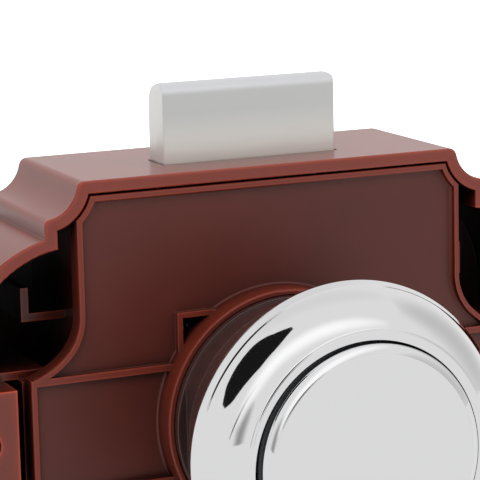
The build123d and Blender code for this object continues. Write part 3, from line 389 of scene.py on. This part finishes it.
def makeRosette(shape):
    # Profile from the back of the rim over the bead, the groove, the flank and the lip, down the bore and
    # back inside; reach is the distance towards the room, so depth is its negative. The bore lies a little
    # off centre: what is nearer to the axis than the lip moves over, by a share that grows across the lip
    inner, bore = shape["radius"] - shape["wall"], shape["boreRadius"]
    rim = np.array([(shape["radius"], shape["backReach"]),
                    (shape["radius"], shape["beadEnd"][1] - shape["beadHeight"]),
                    shape["beadEnd"], shape["beadStart"], shape["grooveEnd"]])
    flank = bowed(shape["grooveEnd"], shape["flankEnd"], shape["flankRise"], shape["flankPoints"])
    crease = bowed(shape["flankEnd"], shape["lipOuter"], -shape["creaseRise"], shape["lipPoints"])
    mouth = (bore, shape["lipTop"][1] - shape["boreDrop"])
    lip = bowed(shape["lipTop"], mouth, shape["lipRise"], shape["lipPoints"])
    inside = np.array([(bore, shape["stepReach"]),
                       (shape["stepRadius"], shape["stepReach"] - shape["stepSlope"]),
                       (shape["stepRadius"], shape["boreReach"]), (bore + shape["wall"], shape["boreReach"]),
                       (inner, shape["beadEnd"][1]), (inner, shape["backReach"])])
    profile = evenProfile([rim, flank[1:], crease[1:], lip, inside], shape["step"], shape["softness"], True)
    share = np.clip((shape["shiftFrom"] - profile[:, 0]) / (shape["shiftFrom"] - shape["shiftTo"]), 0, 1)
    share *= profile[:, 1] > shape["stepReach"]
    return turnedMesh("rosette_shell", (profile * (1, -1))[::-1], shape["steps"], True,
                      share[::-1, None] * shape["boreShift"])


# Knob: a cup with a flat chromed face, a fine step round it and a sloped shoulder; the skirt below is painted
# black, a painted shade that shows as a dark band in the gap
knobShape = {
    "radius": 13.0, "skirtReach": 15.6, "edgeReach": 24.7, "faceReach": 25.6, "faceRadius": 12.0,
    "stepEnd": (12.08, 25.44), "shoulderEnd": (12.88, 24.9), "shoulderRise": 0.03,
    "shoulderPoints": 16, "wall": 0.85, "steps": 256, "step": 0.04, "softness": 0.14,
}


def makeKnob(shape):
    # Profile from the middle of the face over the shoulder, down the skirt and back up inside; the faces
    # whose middle lies behind the shoulder's foot take the black painted shade
    inner = shape["radius"] - shape["wall"]
    innerFace = shape["faceReach"] - shape["wall"]
    runs = [
        np.array([(0, shape["faceReach"]), (shape["faceRadius"], shape["faceReach"])]),
        bowed(shape["stepEnd"], shape["shoulderEnd"], shape["shoulderRise"], shape["shoulderPoints"]),
        np.array([(shape["radius"], shape["edgeReach"]), (shape["radius"], shape["skirtReach"]),
                  (inner, shape["skirtReach"]), (inner, innerFace), (0, innerFace)]),
    ]
    profile = evenProfile(runs, shape["step"], shape["softness"], False) * (1, -1)
    cup = turnedMesh("knob_cup", profile, shape["steps"], False)
    middle = np.empty(len(cup.data.polygons) * 3, dtype=np.float32)
    cup.data.polygons.foreach_get("center", middle)
    cup.data.materials.append(chrome)
    cup.data.materials.append(skirtShadeBlack)
    # Painted shade: the skirt's faces take the black material
    shadedSkirt = middle[1::3].astype(float) / mm > -shape["edgeReach"]
    cup.data.polygons.foreach_set("material_index", shadedSkirt.astype(np.int32))
    return cup


rosette = makeRosette(rosetteShape)
rosette.data.materials.append(chrome)
knob = makeKnob(knobShape)
for piece, node, body in ((rosette, "rosette_cap", "rosette"), (knob, "knob_cap", "knob")):
    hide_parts(node)
    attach(piece, body)
print("stage: rosette and knob turned")

# Studio: a pale floor, soft lamps and, for the chrome alone, a white surround with dark cards; in mm
studio = {
    "floorHalf": 1500, "floorColour": "#f4f4f4", "floorRoughness": 0.9, "floorGlow": 0.55, "sky": 0.72,
    "keyPlace": (-300, -420, 520), "keySize": 420, "keyPower": 3.2,
    "fillPlace": (420, -350, 160), "fillSize": 500, "fillPower": 1.0,
    "topPlace": (0, 120, 600), "topSize": 500, "topPower": 3.0,
}


def stageMesh(name, points, faces, material):
    mesh = bpy.data.meshes.new(name)
    mesh.from_pydata(points, [], faces)
    mesh.materials.append(material)
    stand = bpy.data.objects.new(name, mesh)
    bpy.context.scene.collection.objects.link(stand)
    return stand


def makeFloor(sizes, low):
    # Matt paper that glows a little to the camera, and is plain white to mirrors
    half = sizes["floorHalf"] * mm
    material, tree, shader, place = newMaterial("studioFloorPaper", {
        "Base Color": linearColour(sizes["floorColour"]), "Roughness": sizes["floorRoughness"]})
    path = addNode(tree, "ShaderNodeLightPath")
    glow = addNode(tree, "ShaderNodeMath", {"operation": "MULTIPLY"}, {1: sizes["floorGlow"]},
                   {0: path.outputs["Is Camera Ray"]})
    shader.inputs["Emission Color"].default_value = (1, 1, 1, 1)
    tree.links.new(glow.outputs[0], shader.inputs["Emission Strength"])
    white = addNode(tree, "ShaderNodeEmission")
    mirrored = addNode(tree, "ShaderNodeMath", {"operation": "MAXIMUM"}, {},
                       {0: path.outputs["Is Glossy Ray"], 1: path.outputs["Is Transmission Ray"]})
    mix = addNode(tree, "ShaderNodeMixShader", {}, {}, {
        0: mirrored.outputs[0], 1: shader.outputs[0], 2: white.outputs[0]})
    tree.links.new(mix.outputs[0], tree.nodes["Material Output"].inputs["Surface"])
    corners = [(-half, -half, low), (half, -half, low), (half, half, low), (-half, half, low)]
    stageMesh("studioFloor", corners, [(0, 1, 2, 3)], material)


def makeLamp(name, place, size, power):
    # Round lamp that faces the origin; mirrors don't show it
    data = bpy.data.lights.new(name, "AREA")
    data.shape = "DISK"
    data.size = size * mm
    data.energy = power
    lamp = bpy.data.objects.new(name, data)
    lamp.visible_glossy = False
    spot = Vector(place) * mm
    lamp.matrix_world = Matrix.Translation(spot) @ (-spot).to_track_quat("-Z", "Y").to_matrix().to_4x4()
    bpy.context.scene.collection.objects.link(lamp)


def makeWorld(grey):
    # White to the camera, to mirrors and through glass; a grey that lights everything else
    world = bpy.data.worlds.new("studioWorld")
    world.use_nodes = True
    tree = world.node_tree
    path = addNode(tree, "ShaderNodeLightPath")
    seen = addNode(tree, "ShaderNodeMath", {"operation": "MAXIMUM"}, {},
                   {0: path.outputs["Is Camera Ray"], 1: path.outputs["Is Glossy Ray"]})
    clear = addNode(tree, "ShaderNodeMath", {"operation": "MAXIMUM"}, {},
                    {0: seen.outputs[0], 1: path.outputs["Is Transmission Ray"]})
    level = addNode(tree, "ShaderNodeMapRange", {}, {"To Min": grey, "To Max": 1.0}, {0: clear.outputs[0]})
    sky = tree.nodes["Background"]
    sky.inputs["Color"].default_value = (1, 1, 1, 1)
    tree.links.new(level.outputs[0], sky.inputs["Strength"])
    bpy.context.scene.world = world


# Cards that only mirrors see, as a studio hangs them to draw chrome: each is a strip whose middle line
# runs through directions from the knob, given as x, y, z, with its half width there; the level is its
# brightness, and a soft card fades out towards its border
cards = {
    "distance": 1200, "across": 24, "fine": 12,
    "darkPatch": {"level": 0.012, "soft": False, "strip": [
        ((-0.93, -0.12, 0.34), 0.05), ((-0.87, -0.15, 0.45), 0.19), ((-0.74, -0.17, 0.63), 0.27),
        ((-0.58, -0.2, 0.78), 0.31), ((-0.42, -0.24, 0.87), 0.22), ((-0.2, -0.24, 0.95), 0.02)]},
    "flankLine": {"level": 0.03, "soft": False, "strip": [
        ((-0.86, -0.5, 0.04), 0.005), ((-0.75, -0.6, 0.27), 0.02), ((-0.66, -0.63, 0.4), 0.022),
        ((-0.56, -0.66, 0.5), 0.016), ((-0.44, -0.69, 0.58), 0.004)]},
    "rimLine": {"level": 0.02, "soft": False, "strip": [
        ((-0.12, 0.45, 0.88), 0.03), ((-0.4, 0.48, 0.78), 0.16), ((-0.58, 0.5, 0.64), 0.22),
        ((-0.74, 0.48, 0.47), 0.18), ((-0.88, 0.42, 0.2), 0.03)]},
    "greySpot": {"level": 0.4, "soft": True, "strip": [
        ((-0.66, -0.66, -0.5), 0.02), ((-0.7, -0.68, -0.3), 0.1), ((-0.72, -0.69, -0.1), 0.16),
        ((-0.7, -0.71, 0.06), 0.18), ((-0.64, -0.74, 0.22), 0.16), ((-0.56, -0.76, 0.36), 0.08)]},
    "softBox": {"level": 1.38, "soft": True, "strip": [
        ((-0.78, -0.6, 0.12), 0.12), ((-0.6, -0.66, 0.46), 0.2), ((-0.36, -0.64, 0.68), 0.24),
        ((0, -0.64, 0.77), 0.26), ((0.3, -0.62, 0.72), 0.22), ((0.6, -0.55, 0.55), 0.1)]},
    "topGrey": {"level": 0.92, "soft": True, "strip": [
        ((-0.5, 0.3, 0.8), 0.2), ((-0.2, 0.25, 0.95), 0.3), ((0.15, 0.2, 0.97), 0.36),
        ((0.45, 0.16, 0.88), 0.3), ((0.66, 0.16, 0.73), 0.2)]},
    "rightGrey": {"level": 0.72, "soft": True, "strip": [
        ((0.66, -0.1, 0.74), 0.3), ((0.82, -0.05, 0.56), 0.5), ((0.93, 0, 0.33), 0.6), ((0.97, 0, 0.1), 0.62),
        ((0.97, 0, -0.15), 0.62)]},
}


def cardCloth(name, level):
    # Velvet or lit cloth: plain light of one level, let through where the fade falls off
    material, tree, shader, place = newMaterial(name, {})
    cloth = addNode(tree, "ShaderNodeEmission", {}, {"Strength": level})
    clear = addNode(tree, "ShaderNodeBsdfTransparent")
    fade = addNode(tree, "ShaderNodeAttribute", {"attribute_name": "fade"})
    mix = addNode(tree, "ShaderNodeMixShader", {}, {}, {
        0: fade.outputs["Fac"], 1: clear.outputs[0], 2: cloth.outputs[0]})
    tree.links.new(mix.outputs[0], tree.nodes["Material Output"].inputs["Surface"])
    return material


def makeCard(name, card, sizes):
    # Grid of directions: along the middle line by smooth steps, and across it by the half width; the fade
    # is one minus the fourth power along, times the square of one minus the square across
    strip, fine = card["strip"], sizes["fine"]
    spots = np.array([direction for direction, width in strip])
    widths = np.array([width for direction, width in strip])
    place = np.linspace(0, len(strip) - 1, fine * (len(strip) - 1) + 1)
    bell = np.hanning(fine) / np.hanning(fine).sum()
    lane = np.column_stack([spots, widths])
    smooth = np.stack([np.convolve(np.pad(np.interp(place, np.arange(len(strip)), lane[:, i]),
                                          (fine // 2, fine - 1 - fine // 2), "edge"), bell, "valid")
                       for i in range(4)], axis=1)
    middle, reach = smooth[:, :3], smooth[:, 3]
    side = np.cross(np.gradient(middle, axis=0), middle)
    side /= np.linalg.norm(side, axis=1, keepdims=True)
    across = np.linspace(-1, 1, sizes["across"])
    grid = middle[:, None] + side[:, None] * (reach[:, None] * across)[:, :, None]
    grid /= np.linalg.norm(grid, axis=2, keepdims=True)
    row, column = np.meshgrid(np.arange(len(place) - 1), np.arange(len(across) - 1), indexing="ij")
    corner = row * len(across) + column
    faces = np.stack([corner, corner + 1, corner + len(across) + 1, corner + len(across)], axis=2)
    points = grid.reshape(-1, 3) * sizes["distance"] * mm
    stand = stageMesh(name, points.tolist(), faces.reshape(-1, 4).tolist(),
                      cardCloth(name + "Cloth", card["level"]))
    along = np.linspace(-1, 1, len(place))
    fade = np.outer(1 - along ** 4, (1 - across ** 2) ** 2) if card["soft"] else np.ones(grid.shape[:2])
    values = stand.data.attributes.new("fade", "FLOAT", "POINT").data
    values.foreach_set("value", fade.ravel().astype(np.float32))
    stand.visible_camera = stand.visible_diffuse = stand.visible_shadow = stand.visible_transmission = False


makeFloor(studio, cadBox[0][2])
for lampName in ("key", "fill", "top"):
    makeLamp(lampName + "Lamp", studio[lampName + "Place"], studio[lampName + "Size"],
             studio[lampName + "Power"])
makeWorld(studio["sky"])
for cardName in ("softBox", "topGrey", "rightGrey", "greySpot", "darkPatch", "flankLine", "rimLine"):
    makeCard(cardName, cards[cardName], cards)
bpy.context.scene.view_settings.view_transform = "Standard"
print("stage: studio made")
